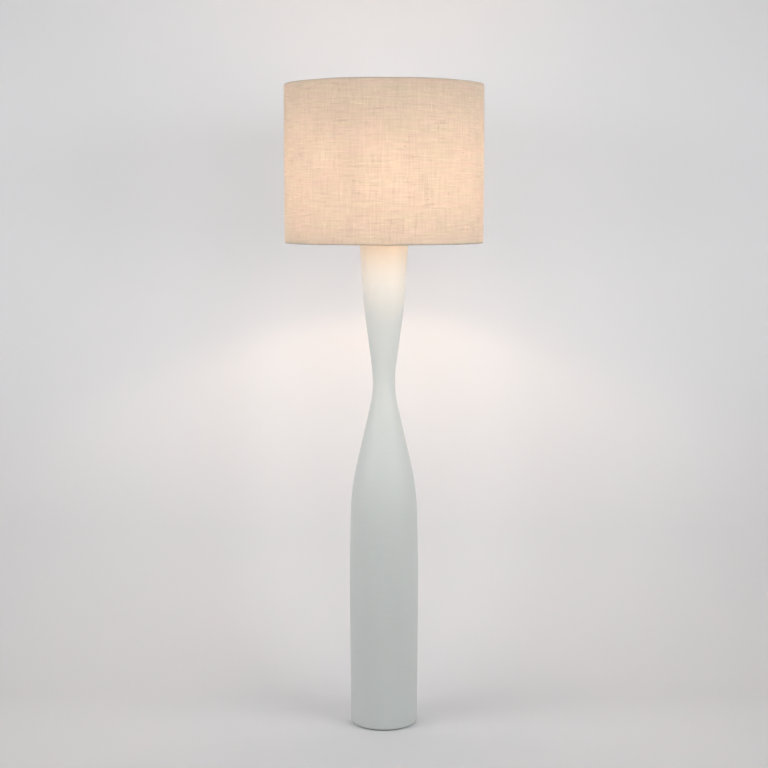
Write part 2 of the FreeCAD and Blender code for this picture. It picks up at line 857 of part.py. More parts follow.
def shade_cloth():
    """Linen drum whose ends roll round the wires and tuck in behind them, slit where the arms pass."""
    inner_r = wire_circle_r + hem_bore_r
    tuck_r = wire_circle_r - hem_bore_r
    face_r = wire_circle_r - hem_r
    low = bottom_wire_z
    high = top_wire_z
    drum = turned_edges([
        run(at(shade_r, low), at(shade_r, high)),
        fold(shade_r, face_r, high, hem_r),
        run(at(face_r, high), at(face_r, high - hem_tuck)),
        run(at(face_r, high - hem_tuck), at(tuck_r, high - hem_tuck)),
        run(at(tuck_r, high - hem_tuck), at(tuck_r, high)),
        fold(tuck_r, inner_r, high, hem_bore_r),
        run(at(inner_r, high), at(inner_r, low)),
        fold(inner_r, tuck_r, low, -hem_bore_r),
        run(at(tuck_r, low), at(tuck_r, low + hem_tuck)),
        run(at(tuck_r, low + hem_tuck), at(face_r, low + hem_tuck)),
        run(at(face_r, low + hem_tuck), at(face_r, low)),
        fold(face_r, shade_r, low, -hem_r),
    ])
    half_width = arm_r + slit_clearance
    slit = block(Vector(face_r - slit_clearance, -half_width, low - half_width),
                 Vector(wire_circle_r, half_width, low + hem_tuck + slit_clearance))
    return about_axis(drum, 1, seam_angle)[0].cut(about_axis(slit, arm_count, arm_angle))


def shade_liner():
    """Stiff styrene sheet inside the linen, from wire to wire."""
    radius = wire_circle_r + hem_bore_r - liner_gap
    bottom = bottom_wire_z + wire_r + hem_gap
    return ring(radius, radius - liner_thickness, bottom, top_wire_z - wire_r - hem_gap - bottom)


def wire_ring(height):
    """Round wire bent to a ring inside a hem."""
    wire = Part.makeTorus(wire_circle_r, wire_r, Vector(0, 0, height))
    return about_axis(wire, 1, seam_angle)[0]


def shade_top_wire():
    """Wire inside the top hem."""
    return wire_ring(top_wire_z)


def shade_bottom_wire():
    """Wire inside the bottom hem, which the arms are welded to."""
    return wire_ring(bottom_wire_z)


def fitter_arms():
    """Wires that rise from the bottom wire to the fitter ring's edge."""
    overlap = wire_r / 2
    corners = [at(wire_circle_r - overlap, bottom_wire_z), at(wire_circle_r - arm_foot, fitter_middle),
               at(fitter_r - overlap, fitter_middle)]
    arm = wire_along(corners, arm_r, [arm_bend])
    arm = arm.cut([wire_ring(bottom_wire_z), rod(fitter_r, fitter_middle - 2 * arm_r, 4 * arm_r)])
    return Part.makeCompound(about_axis(arm, arm_count, arm_angle))


def fitter_ring():
    """Flat steel ring that the shade rings clamp."""
    return ring(fitter_r, fitter_bore_r, fitter_bottom, fitter_thickness)


def ring_washer():
    """Thin friction washer between the fitter and the upper shade ring."""
    return ring(ring_flange_r, fitter_bore_r, friction_washer_bottom, friction_washer_thickness)


# ---- Bulb -------------------------------------------------------------------------------------------

def bulb_tip():
    """Round contact in the middle of the cap's end."""
    top = tip_bottom + tip_thickness
    return turned((0, tip_bottom), (tip_r - tip_thickness, tip_bottom),
                  (tip_r, tip_bottom + tip_thickness / 2), (tip_r, top), (0, top))


def bulb_insulator():
    """Dark ring between the tip and the screw cap."""
    bore_r = tip_r + thread_clearance
    top = bulb_cap_bottom
    seat = tip_bottom + tip_thickness
    return turned((bore_r, insulator_bottom), (bore_r + bulb_wall, insulator_bottom), (bulb_cap_root_r, top),
                  (0, top), (0, seat), (bore_r, seat))


def bulb_cap():
    """Screw cap, drawn with round ridges at the thread's pitch."""
    bore_r = bulb_cap_root_r - bulb_cap_wall
    ridge_top = bulb_cap_bottom + bulb_cap_ridges * thread_pitch
    edges = [Part.LineSegment(at(bore_r, bulb_cap_bottom), at(bulb_cap_root_r, bulb_cap_bottom)).toShape()]
    for index in range(bulb_cap_ridges):
        start = bulb_cap_bottom + index * thread_pitch
        edges.append(Part.Arc(at(bulb_cap_root_r, start), at(bulb_cap_r, start + thread_pitch / 2),
                              at(bulb_cap_root_r, start + thread_pitch)).toShape())
    close = [at(bulb_cap_root_r, ridge_top), at(bulb_cap_r, ridge_top), at(bulb_cap_r, bulb_cap_top),
             at(bore_r, bulb_cap_top), at(bore_r, bulb_cap_bottom)]
    edges += Part.makePolygon(close).Edges
    return turned_edges(edges)


def bulb_housing():
    """White housing: a spigot in the cap, a flaring outside and a ledge for the LED board."""
    spigot_r = bulb_cap_root_r - bulb_cap_wall - thread_clearance
    spigot_bottom = bulb_cap_top - bulb_cap_collar - thread_pitch
    board_r = led_board_r + led_board_clearance
    board_bottom = led_board_top - led_board_thickness
    flare_top = board_bottom - housing_rim
    corners = [
        at(spigot_r, spigot_bottom),
        at(spigot_r, bulb_cap_top),
        at(bulb_cap_r + bulb_fit, bulb_cap_top),
        at(seam_r, flare_top),
        at(seam_r, seam_z),
        at(board_r, seam_z),
        at(board_r, board_bottom),
        at(board_r - led_ledge, board_bottom),
        at(board_r - led_ledge, flare_top),
        at(spigot_r - bulb_wall, bulb_cap_top),
        at(spigot_r - bulb_wall, spigot_bottom),
        at(spigot_r, spigot_bottom),
    ]
    bends = [0, 0, housing_bend, 0, 0, 0, 0, housing_bend, bulb_wall, 0]
    return turned_edges(rounded_edges(corners, bends))


def bulb_diffuser():
    """Opal dome: a globe cut at its seam, with one even wall."""
    inner_r = globe_r - bulb_wall
    outside = Part.makeSphere(globe_r, Vector(0, 0, globe_z))
    inside = Part.makeSphere(inner_r, Vector(0, 0, globe_z))
    return outside.cut([inside, rod(globe_r, seam_z - globe_r, globe_r)])


def led_board():
    """Round aluminium board on the housing's ledge."""
    return rod(led_board_r, led_board_top - led_board_thickness, led_board_thickness)


def led_chips():
    """Ring of square LEDs on the board."""
    half = led_size / 2
    chip = block(Vector(led_circle_r - half, -half, led_board_top),
                 Vector(led_circle_r + half, half, led_board_top + led_height))
    return Part.makeCompound(about_axis(chip, led_count))


def driver_board():
    """Upright circuit board that hangs from the LED board."""
    top = led_board_top - led_board_thickness
    low = Vector(-driver_width / 2, 0, top - driver_height)
    return block(low, Vector(driver_width / 2, driver_thickness, top))


def driver_parts():
    """A capacitor on one side of the driver board, and a coil with a chip under it on the other."""
    top = led_board_top - led_board_thickness - part_spacing
    capacitor = rod(capacitor_r, top - capacitor_length, capacitor_length, 0, driver_thickness + capacitor_r)
    coil_bottom = top - coil_height
    coil = block(Vector(-coil_width / 2, -coil_depth, coil_bottom), Vector(coil_width / 2, 0, top))
    chip_top = coil_bottom - part_spacing / 2
    chip_low = Vector(-chip_width / 2, -chip_depth, chip_top - chip_height)
    chip = block(chip_low, Vector(chip_width / 2, 0, chip_top))
    return Part.makeCompound([capacitor, coil, chip])


# ---- Sub-parts --------------------------------------------------------------------------------------

PIECES = [
    column_lower, column_upper, lamp_rod, base_weight, base_washer, earth_tag, base_lock_washer, base_nut,
    base_cover, cover_screws, felt_pad, cord_inlet,
    terminal_block, terminal_sleeves, terminal_screws, terminal_fixing_screws,
    lead_sheath, live_core, neutral_core, earth_wire,
    top_washer, top_nut, holder_cap, holder_grub_screw, holder_insert, holder_terminals,
    holder_terminal_screws, centre_contact, side_contact, screw_shell, holder_skirt, shade_ring_lower,
    shade_cloth, shade_liner, shade_top_wire, shade_bottom_wire, fitter_arms, fitter_ring,
    ring_washer, shade_ring_upper,
    bulb_tip, bulb_insulator, bulb_cap, bulb_housing, bulb_diffuser, led_board, led_chips, driver_board,
    driver_parts,
]

os.makedirs("parts", exist_ok=True)
for make in PIECES:
    save(make.__name__, make())
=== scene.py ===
import math

import bmesh
import bpy
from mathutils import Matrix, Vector


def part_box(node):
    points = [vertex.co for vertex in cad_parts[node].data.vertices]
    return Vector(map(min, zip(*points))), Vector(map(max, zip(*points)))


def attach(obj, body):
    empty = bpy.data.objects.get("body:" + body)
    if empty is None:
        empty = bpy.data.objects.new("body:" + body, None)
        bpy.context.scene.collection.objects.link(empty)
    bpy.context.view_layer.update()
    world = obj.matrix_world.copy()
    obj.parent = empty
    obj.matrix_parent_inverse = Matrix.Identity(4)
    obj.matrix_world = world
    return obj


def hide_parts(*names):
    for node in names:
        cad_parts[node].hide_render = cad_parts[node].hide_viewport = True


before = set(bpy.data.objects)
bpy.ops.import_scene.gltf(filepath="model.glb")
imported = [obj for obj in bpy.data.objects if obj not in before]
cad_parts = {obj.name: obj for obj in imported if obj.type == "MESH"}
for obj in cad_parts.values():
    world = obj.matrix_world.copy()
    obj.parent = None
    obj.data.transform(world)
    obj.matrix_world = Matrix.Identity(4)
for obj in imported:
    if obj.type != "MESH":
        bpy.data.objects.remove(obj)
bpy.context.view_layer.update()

# Column floor lamp, lit: a turned column in matt pale paint, and a linen drum shade over a warm LED bulb.
# Metres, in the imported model's own frame. +Y is the back.

# ---- Places read from the frame ---------------------------------------------------------------------

shade_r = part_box("shade_cloth")[1].x
felt_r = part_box("felt_pad")[1].x
top_wire_low, top_wire_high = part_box("shade_top_wire")
wire_r = (top_wire_high.z - top_wire_low.z) / 2
wire_circle_r = top_wire_high.x - wire_r
top_wire_z = top_wire_high.z - wire_r
bottom_wire_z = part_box("shade_bottom_wire")[0].z + wire_r
globe_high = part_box("bulb_diffuser")[1]
globe_r = globe_high.x
globe_z = globe_high.z - globe_r

# ---- Sizes of what is made here ---------------------------------------------------------------------

cloth_thickness = 0.0008
yarn_pitch = 0.00085           # from one yarn of the weave to the next
hem_tuck = 0.003               # how far each end goes on past its half turn round the wire
arm_angles = (0, 2 * math.pi / 3, 4 * math.pi / 3)   # from the back, as the cloth runs
notch_half = 0.0026            # half the gap in the lower hem where a fitter arm comes in
notch_roll = 0.42              # the share of the lower half turn that is left at a notch
notch_slope = 0.0004           # the arc over which the hem reaches its full size beside a notch
seam_overlap = 0.014
seam_step = 0.0010             # how far the outer layer stands out over the inner one
seam_run = 0.030               # the arc beyond the overlap over which it settles on the drum again
slack = 0.0003                 # how far the drum is out of round, always outwards
hem_waver = 0.00025            # how far the hems rise and fall
waver_reach = 0.02             # how far from a wire the wall still moves with its hem
crease = math.radians(50)      # edges sharper than this show as edges
columns = 480
wall_rows = 48
roll_steps = 12

# ---- Light and camera -------------------------------------------------------------------------------

photo_size = 768
focal_px = 1567.9
sensor_width = 36.0
camera_distance = 3.575
camera_height = 1.203
camera_pitch = math.radians(6.483)

wall_y = 0.56
wall_height = 4.0
cove_r = 0.34                  # the bend from the floor to the wall
cove_lift = 0.0002
cove_steps = 24
stage_reach = 7.0
floor_sides = 96
floor_drop = 0.0003            # keeps the floor off the felt's face
hole_share = 0.92              # the floor's hole under the foot, as a share of the felt's radius
stage_colour = (0.82, 0.82, 0.83)

bulb_colour = (1.0, 0.64, 0.38)
bulb_power = 4.2
bulb_glow = 2.2
# These would keep the bulb's light off the linen.
shadowless = ("shade_liner", "shade_top_wire", "shade_bottom_wire",
              "bulb_diffuser", "bulb_housing", "led_board", "led_chips")
softbox_aim = 1.15             # the height on the lamp that all the softboxes face
key_powers = (4.6, 6.3)        # each pair's powers are those of its left and its right light
side_powers = (7.5, 6.0)
front_powers = (0.7, 0.95)
ambient = 0.25
world_seen = 0.6               # how bright the surroundings look past the stage


# ---- Node helpers -----------------------------------------------------------------------------------

class Finish:
    """One material's node tree, built with short calls."""

    def __init__(self, name, roughness=0.5, metallic=0.0):
        self.material = bpy.data.materials.new(name)
        self.material.use_nodes = True
        self.tree = self.material.node_tree
        self.shader = self.tree.nodes["Principled BSDF"]
        self.output = self.tree.nodes["Material Output"]
        self.shader.inputs["Roughness"].default_value = roughness
        self.shader.inputs["Metallic"].default_value = metallic
        self.place = self.node("ShaderNodeTexCoord").outputs["Object"]

    def node(self, kind, inputs=None, **settings):
        """A node with its settings, and with values or links on its inputs."""
        made = self.tree.nodes.new(kind)
        for name, value in settings.items():
            setattr(made, name, value)
        for key, value in (inputs or {}).items():
            self.feed(made.inputs[key], value)
        return made

    def feed(self, socket, value):
        """Links a socket to another, or sets its value."""
        if isinstance(value, bpy.types.NodeSocket):
            self.tree.links.new(value, socket)
        else:
            socket.default_value = value

    def math(self, operation, first, second=0.0):
        return self.node("ShaderNodeMath", {0: first, 1: second}, operation=operation).outputs[0]

    def stretch(self, vector, *scale):
        """A vector times a scale along each axis."""
        node = self.node("ShaderNodeVectorMath", {0: vector, 1: scale}, operation="MULTIPLY")
        return node.outputs[0]

    def noise(self, vector, scale=1.0, detail=2.0, roughness=0.5):
        """Smooth noise from 0 to 1."""
        node = self.node("ShaderNodeTexNoise",
                         {"Vector": vector, "Scale": scale, "Detail": detail, "Roughness": roughness})
        return node.outputs["Fac"]

    def spread(self, value, low, high, to_low=0.0, to_high=1.0):
        """A value's range from low to high, carried to another range and held there."""
        node = self.node("ShaderNodeMapRange", {"Value": value, "From Min": low, "From Max": high,
                                                "To Min": to_low, "To Max": to_high})
        return node.outputs[0]

    def blend(self, factor, first, second, mode="MIX"):
        """Two colours mixed by a factor."""
        node = self.node("ShaderNodeMix", {"Factor": factor, "A": first, "B": second},
                         data_type="RGBA", blend_type=mode)
        return node.outputs["Result"]

    def bump(self, height, distance, strength=1.0):
        node = self.node("ShaderNodeBump", {"Height": height, "Distance": distance, "Strength": strength})
        self.feed(self.shader.inputs["Normal"], node.outputs[0])
        return node.outputs[0]

    def colour(self, value):
        self.feed(self.shader.inputs["Base Color"], value)

    def roughness(self, value):
        self.feed(self.shader.inputs["Roughness"], value)


def tone(colour, factor):
    """A colour made darker or lighter, with full alpha."""
    return tuple(part * factor for part in colour[:3]) + (1.0,)


# ---- Materials --------------------------------------------------------------------------------------

paint_colour = (0.62, 0.65, 0.63)
linen_colour = (0.67, 0.56, 0.435)
linen_glow = (0.83, 0.88, 1.0)
linen_translucency = 0.38
liner_translucency = 0.3


def column_paint():
    """Matt paint on turned wood: a faint mottle, fine turning rings under the paint, and a dusty foot."""
    paint = Finish("column_paint")
    mottle = paint.noise(paint.stretch(paint.place, 6, 6, 3), detail=4)
    brushed = paint.noise(paint.stretch(paint.place, 30, 30, 420), detail=2)
    colour = paint.blend(paint.spread(mottle, 0.3, 0.7),
                         tone(paint_colour, 0.97), tone(paint_colour, 1.03))
    colour = paint.blend(paint.spread(brushed, 0.35, 0.75, 0, 0.35), colour, tone(paint_colour, 1.05))
    height = paint.node("ShaderNodeSeparateXYZ", {0: paint.place}).outputs[2]
    scuffs = paint.noise(paint.stretch(paint.place, 60, 60, 160), detail=6, roughness=0.7)
    low = paint.spread(height, 0.002, 0.03, 1, 0)
    dust = paint.math("MULTIPLY", low, paint.spread(scuffs, 0.45, 0.7))
    colour = paint.blend(paint.math("MULTIPLY", dust, 0.35), colour, tone((0.42, 0.41, 0.38), 1))
    paint.colour(colour)
    paint.roughness(paint.spread(mottle, 0.2, 0.8, 0.46, 0.56))
    stipple = paint.noise(paint.place, 900, detail=3)
    rings = paint.noise(paint.stretch(paint.place, 4, 4, 700), detail=1)
    relief = paint.math("ADD", paint.math("MULTIPLY", stipple, 0.6), paint.math("MULTIPLY", rings, 0.4))
    paint.bump(relief, 0.00012, 0.5)
    return paint.material


def linen():
    """Natural linen: plain weave with painted shade between the yarns, uneven yarns both ways, flecks,
    and light that comes through.
    """
    cloth = Finish("linen", roughness=0.9)
    x, y, z = cloth.node("ShaderNodeSeparateXYZ", {0: cloth.place}).outputs
    angle = cloth.math("ARCTAN2", x, cloth.math("MULTIPLY", y, -1))
    along = cloth.math("MULTIPLY", angle, shade_r)
    flat = cloth.node("ShaderNodeCombineXYZ", {0: along, 1: z}).outputs[0]

    across_warp = cloth.math("COSINE", cloth.math("MULTIPLY", along, math.pi / yarn_pitch))
    across_weft = cloth.math("COSINE", cloth.math("MULTIPLY", z, math.pi / yarn_pitch))
    crossing = cloth.spread(cloth.math("MULTIPLY", across_warp, across_weft), -1, 1)
    warp_height = cloth.math("MULTIPLY", cloth.math("ABSOLUTE", across_warp), crossing)
    weft_height = cloth.math("MULTIPLY", cloth.math("ABSOLUTE", across_weft),
                             cloth.math("SUBTRACT", 1.0, crossing))
    weave = cloth.math("MAXIMUM", warp_height, weft_height)

    weft_yarn = cloth.noise(cloth.stretch(flat, 17, 290, 1), detail=4, roughness=0.65)
    warp_yarn = cloth.noise(cloth.stretch(flat, 270, 15, 1), detail=4, roughness=0.65)
    weft_slub = cloth.noise(cloth.stretch(flat, 25, 200, 1), detail=2, roughness=0.5)
    warp_slub = cloth.noise(cloth.stretch(flat, 210, 28, 1), detail=2, roughness=0.5)
    patches = cloth.noise(cloth.stretch(flat, 9, 14, 1), detail=2)
    hue = cloth.noise(cloth.stretch(flat, 12, 70, 1), detail=2)
    flecks = cloth.noise(cloth.stretch(flat, 190, 260, 1), detail=0)

    thick = cloth.math("ADD", cloth.spread(weft_yarn, 0.32, 0.68, -1, 1),
                       cloth.spread(warp_yarn, 0.32, 0.68, -0.85, 0.85))
    slubs = cloth.math("ADD", cloth.spread(weft_slub, 0.60, 0.72),
                       cloth.spread(warp_slub, 0.62, 0.74, 0, 0.9))
    thin = cloth.math("ADD", cloth.spread(weft_slub, 0.40, 0.29),
                      cloth.spread(warp_slub, 0.38, 0.27, 0, 0.8))
    shade = cloth.math("ADD", cloth.math("MULTIPLY", thick, -0.065), cloth.math("MULTIPLY", slubs, -0.12))
    shade = cloth.math("ADD", shade, cloth.math("MULTIPLY", thin, 0.09))
    shade = cloth.math("ADD", shade, cloth.spread(patches, 0.3, 0.7, -0.015, 0.015))
    # Painted shade: the low points of the weave, between the yarns, are made up to a tenth darker, in the
    # outside and the through colour alike.
    weave_gap_shade = cloth.spread(weave, 0.0, 0.5, -0.10, 0.0)
    shade = cloth.math("ADD", cloth.math("ADD", shade, weave_gap_shade), 1.0)

    tinted = cloth.blend(cloth.spread(hue, 0.35, 0.65), (1.015, 0.99, 0.99, 1), (0.995, 1.01, 0.97, 1))
    lift = cloth.node("ShaderNodeCombineColor", {0: shade, 1: shade, 2: shade}).outputs[0]
    tinted = cloth.blend(1.0, tinted, lift, "MULTIPLY")
    fleck = cloth.spread(flecks, 0.855, 0.875, 0, 0.7)
    outside = cloth.blend(1.0, tone(linen_colour, 1), tinted, "MULTIPLY")
    outside = cloth.blend(fleck, outside, tone((0.25, 0.15, 0.08), 1))
    through = cloth.blend(1.0, tone(linen_glow, 1), tinted, "MULTIPLY")
    through = cloth.blend(fleck, through, tone((0.30, 0.16, 0.08), 1))

    cloth.colour(outside)
    cloth.shader.inputs["Sheen Weight"].default_value = 0.15
    cloth.shader.inputs["Sheen Roughness"].default_value = 0.5
    cloth.shader.inputs["Specular IOR Level"].default_value = 0.15
    relief = cloth.math("ADD", weave, cloth.math("MULTIPLY", cloth.math("ADD", thick, slubs), 0.5))
    normal = cloth.bump(relief, 0.0004, 0.55)
    glow = cloth.node("ShaderNodeBsdfTranslucent", {"Color": through, "Normal": normal})
    mixed = cloth.node("ShaderNodeMixShader", {0: linen_translucency, 1: cloth.shader.outputs[0],
                                                2: glow.outputs[0]})
    cloth.feed(cloth.output.inputs["Surface"], mixed.outputs[0])
    return cloth.material


def styrene():
    """White lampshade laminate, which lets the light through to the linen."""
    sheet = Finish("styrene", roughness=0.55)
    cloud = sheet.noise(sheet.place, 60, detail=3)
    colour = sheet.blend(cloud, (0.91, 0.84, 0.75, 1), (0.95, 0.89, 0.81, 1))
    sheet.colour(colour)
    normal = sheet.bump(sheet.noise(sheet.place, 500, detail=2), 0.0001, 0.3)
    glow = sheet.node("ShaderNodeBsdfTranslucent", {"Color": colour, "Normal": normal})
    mixed = sheet.node("ShaderNodeMixShader", {0: liner_translucency, 1: sheet.shader.outputs[0],
                                                2: glow.outputs[0]})
    sheet.feed(sheet.output.inputs["Surface"], mixed.outputs[0])
    return sheet.material


def moulded(name, colour, roughness=0.4, grain=900, depth=0.00004):
    """Moulded plastic or powder coat: an even colour with a fine skin."""
    plastic = Finish(name, roughness)
    cloud = plastic.noise(plastic.place, 90, detail=3)
    plastic.colour(plastic.blend(cloud, tone(colour, 0.96), tone(colour, 1.03)))
    plastic.roughness(plastic.spread(cloud, 0.3, 0.7, roughness - 0.05, roughness + 0.05))
    plastic.bump(plastic.noise(plastic.place, grain, detail=2), depth, 0.6)
    return plastic.material


def plated(name, colour, roughness=0.3):
    """Plated or bare metal with fine scratches and a slight stain."""
    metal = Finish(name, roughness, metallic=1.0)
    stain = metal.noise(metal.place, 140, detail=4, roughness=0.6)
    metal.colour(metal.blend(stain, tone(colour, 0.85), tone(colour, 1.05)))
    scratches = metal.noise(metal.stretch(metal.place, 300, 300, 3000), detail=2)
    metal.roughness(metal.spread(scratches, 0.3, 0.7, roughness - 0.08, roughness + 0.12))
    metal.bump(scratches, 0.00003, 0.4)
    return metal.material


def felt():
    """Light grey pressed felt with loose fibres."""
    pad = Finish("felt", roughness=0.95)
    fibres = pad.noise(pad.place, 900, detail=5, roughness=0.8)
    pad.colour(pad.blend(fibres, (0.36, 0.36, 0.36, 1), (0.62, 0.62, 0.61, 1)))
    pad.shader.inputs["Sheen Weight"].default_value = 0.4
    pad.bump(fibres, 0.0006, 0.8)
    return pad.material


def cast_iron():
    """Dark primer over a sand casting."""
    iron = Finish("cast_iron", roughness=0.7, metallic=0.6)
    sand = iron.noise(iron.place, 420, detail=5, roughness=0.7)
    iron.colour(iron.blend(sand, (0.05, 0.05, 0.052, 1), (0.13, 0.12, 0.12, 1)))
    iron.bump(sand, 0.0005, 0.7)
    return iron.material


def hardboard():
    """Pressed brown fibre board."""
    board = Finish("hardboard", roughness=0.75)
    fibres = board.noise(board.stretch(board.place, 300, 900, 900), detail=5, roughness=0.7)
    board.colour(board.blend(fibres, (0.10, 0.055, 0.03, 1), (0.26, 0.16, 0.09, 1)))
    board.bump(fibres, 0.0002, 0.5)
    return board.material


def opal():
    """The lit opal dome."""
    dome = Finish("bulb_opal", roughness=0.35)
    haze = dome.noise(dome.place, 70, detail=3)
    dome.colour(dome.blend(haze, (0.90, 0.86, 0.78, 1), (0.94, 0.90, 0.84, 1)))
    dome.shader.inputs["Emission Color"].default_value = tone(bulb_colour, 1)
    dome.shader.inputs["Emission Strength"].default_value = bulb_glow
    dome.bump(dome.noise(dome.place, 700, detail=2), 0.00005, 0.3)
    return dome.material


def striped_core():
    """Green insulation with a yellow stripe round it."""
    wire = Finish("core_green", roughness=0.45)
    stripes = wire.node("ShaderNodeTexWave", {"Vector": wire.place, "Scale": 90.0, "Distortion": 1.5},
                        bands_direction="DIAGONAL")
    wire.colour(wire.blend(wire.spread(stripes.outputs["Fac"], 0.55, 0.65), (0.06, 0.28, 0.06, 1),
                           (0.75, 0.62, 0.05, 1)))
    wire.bump(wire.noise(wire.place, 800, detail=2), 0.00004, 0.4)
    return wire.material


def materials():
    """Every material of the lamp, under the name of its slot in the record."""
    return {
        "column_paint": column_paint(),
        "linen": linen(),
        "styrene": styrene(),
        "felt": felt(),
        "cast_iron": cast_iron(),
        "hardboard": hardboard(),
        "bulb_opal": opal(),
        "core_green": striped_core(),
        "zinc_steel": plated("zinc_steel", (0.60, 0.61, 0.62), 0.38),
        "brass": plated("brass", (0.78, 0.58, 0.26), 0.28),
        "cap_nickel": plated("cap_nickel", (0.72, 0.70, 0.67), 0.2),
        "board_aluminium": plated("board_aluminium", (0.84, 0.84, 0.85), 0.45),
        "white_plastic": moulded("white_plastic", (0.74, 0.75, 0.74), 0.42),
        "natural_nylon": moulded("natural_nylon", (0.80, 0.77, 0.68), 0.38),
        "lead_white": moulded("lead_white", (0.80, 0.80, 0.79), 0.4),
        "core_brown": moulded("core_brown", (0.20, 0.09, 0.04), 0.42),
        "core_blue": moulded("core_blue", (0.05, 0.16, 0.55), 0.42),
        "holder_white": moulded("holder_white", (0.80, 0.79, 0.75), 0.3),
        "holder_insert": moulded("holder_insert", (0.74, 0.70, 0.62), 0.5),
        "white_wire": moulded("white_wire", (0.82, 0.81, 0.78), 0.45, grain=1500, depth=0.00008),
        "black_glass": moulded("black_glass", (0.02, 0.02, 0.025), 0.12),
        "bulb_white": moulded("bulb_white", (0.86, 0.85, 0.82), 0.35),
        "led_phosphor": moulded("led_phosphor", (0.90, 0.70, 0.15), 0.4),
        "board_green": moulded("board_green", (0.03, 0.20, 0.08), 0.3),
        "driver_black": moulded("driver_black", (0.04, 0.04, 0.045), 0.5),
    }


# ---- Pieces -----------------------------------------------------------------------------------------

def piece(name, mesh, material, body):
    """A new object of a mesh, in a body, with its finish."""
    made = bpy.data.objects.new(name, mesh)
    bpy.context.scene.collection.objects.link(made)
    made.data.materials.append(material)
    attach(made, body)
    return made


def face_of_cloth(radius, lower_roll):
    """One face of the cloth as (radius, height), from the lower tuck up to the upper one.

    The radius given is that of the half turns round the wires. The lower roll is a share of its half
    turn, and only a whole one has its tuck.
    """
    points = []
    end = math.pi * lower_roll
    tuck = hem_tuck if lower_roll == 1 else 0
    points.append((wire_circle_r + radius * math.cos(end), bottom_wire_z + tuck - radius * math.sin(end)))
    for step in range(roll_steps + 1):
        turn = end * (1 - step / roll_steps)
        points.append((wire_circle_r + radius * math.cos(turn), bottom_wire_z - radius * math.sin(turn)))
    rise = top_wire_z - bottom_wire_z
    for row in range(1, wall_rows):
        points.append((wire_circle_r + radius, bottom_wire_z + rise * row / wall_rows))
    for step in range(roll_steps + 1):
        turn = math.pi * step / roll_steps
        points.append((wire_circle_r + radius * math.cos(turn), top_wire_z + radius * math.sin(turn)))
    points.append((wire_circle_r - radius, top_wire_z - hem_tuck))
    return points


def shade_outline(angle):
    """The cloth's closed outline at an angle: its outer face up, and its inner face down."""
    nearest = min(abs(math.remainder(angle - arm, 2 * math.pi)) for arm in arm_angles) * shade_r
    lower_roll = notch_roll if nearest <= notch_half else 1
    hem_r = shade_r - wire_circle_r
    outer = face_of_cloth(hem_r, lower_roll)
    inner = face_of_cloth(hem_r - cloth_thickness, lower_roll)
    return outer + inner[::-1]


def cloth_angles():
    """The angles at which the cloth is drawn: even steps, and both sides of each notch's edges."""
    last = 2 * math.pi + seam_overlap / shade_r
    angles = [last * column / columns for column in range(columns + 1)]
    for arm in arm_angles + (2 * math.pi,):
        for edge in (-notch_half - notch_slope, -notch_half, notch_half, notch_half + notch_slope):
            angle = arm + edge / shade_r
            if 0 < angle < last:
                angles.append(angle)
    return sorted(angles)


def out_of_round(angle, height):
    """The drum's small departure from a circle, as laminate and cloth settle between the wires."""
    middle = math.sin(math.pi * (height - bottom_wire_z) / (top_wire_z - bottom_wire_z))
    waves = 0.5 * math.sin(3 * angle + 0.7) + 0.3 * math.sin(5 * angle + 2.1 + 4 * height)
    return slack * max(middle, 0.0) * (1 + waves + 0.2 * math.sin(11 * angle))


def seam_lift(angle):
    """How far the cloth stands out where it starts, over its own end, and how it then settles."""
    past_overlap = angle * shade_r - seam_overlap
    return seam_step * min(1.0, max(0.0, 1 - past_overlap / seam_run))


def linen_drum(material):
    """The linen with its rolled hems, which ends under its own start in a seam at the back."""
    shell = bmesh.new()
    rings = []
    for angle in cloth_angles():
        lift = seam_lift(angle)
        waver = hem_waver * (math.sin(7 * angle + 1.3) + 0.7 * math.sin(17 * angle + 0.4))
        ring = []
        for radius, height in shade_outline(angle):
            reach = radius + out_of_round(angle, height) + lift
            near_hem = min(abs(height - top_wire_z), abs(height - bottom_wire_z))
            rise = waver * max(0.0, 1 - near_hem / waver_reach)
            turn = angle + math.pi / 2
            ring.append(shell.verts.new((reach * math.cos(turn), reach * math.sin(turn), height + rise)))
        rings.append(ring)
    count = len(rings[0])
    for near, far in zip(rings, rings[1:]):
        for index in range(count):
            after = (index + 1) % count
            shell.faces.new((near[index], far[index], far[after], near[after]))
    shell.faces.new(rings[0])
    shell.faces.new(reversed(rings[-1]))
    bmesh.ops.triangulate(shell, faces=[face for face in shell.faces if len(face.verts) > 4])
    bmesh.ops.recalc_face_normals(shell, faces=shell.faces)
    mesh = bpy.data.meshes.new("shade_linen")
    shell.to_mesh(mesh)
    shell.free()
    for polygon in mesh.polygons:
        polygon.use_smooth = True
    mesh.set_sharp_from_angle(angle=crease)
    drum = piece("shade_linen", mesh, material, "shade")
    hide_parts("shade_cloth")
    return drum


def dress_nodes(finishes):
    """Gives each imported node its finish."""
    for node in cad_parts.values():
        name = node.data.materials[0].name.split(".")[0]
        node.data.materials[0] = finishes[name]


# ---- Stage, light and camera ------------------------------------------------------------------------

def one_sided(name, colour):
    """A stage finish that shows from its front only, so that it never hides the lamp."""
    stage = Finish(name, roughness=0.9)
    grain = stage.noise(stage.place, 3, detail=3)
    stage.colour(stage.blend(grain, tone(colour, 0.99), tone(colour, 1.01)))
    stage.shader.inputs["Specular IOR Level"].default_value = 0.1
    behind = stage.node("ShaderNodeNewGeometry").outputs["Backfacing"]
    clear = stage.node("ShaderNodeBsdfTransparent")
    mixed = stage.node("ShaderNodeMixShader",
                       {0: behind, 1: stage.shader.outputs[0], 2: clear.outputs[0]})
    stage.feed(stage.output.inputs["Surface"], mixed.outputs[0])
    return stage.material


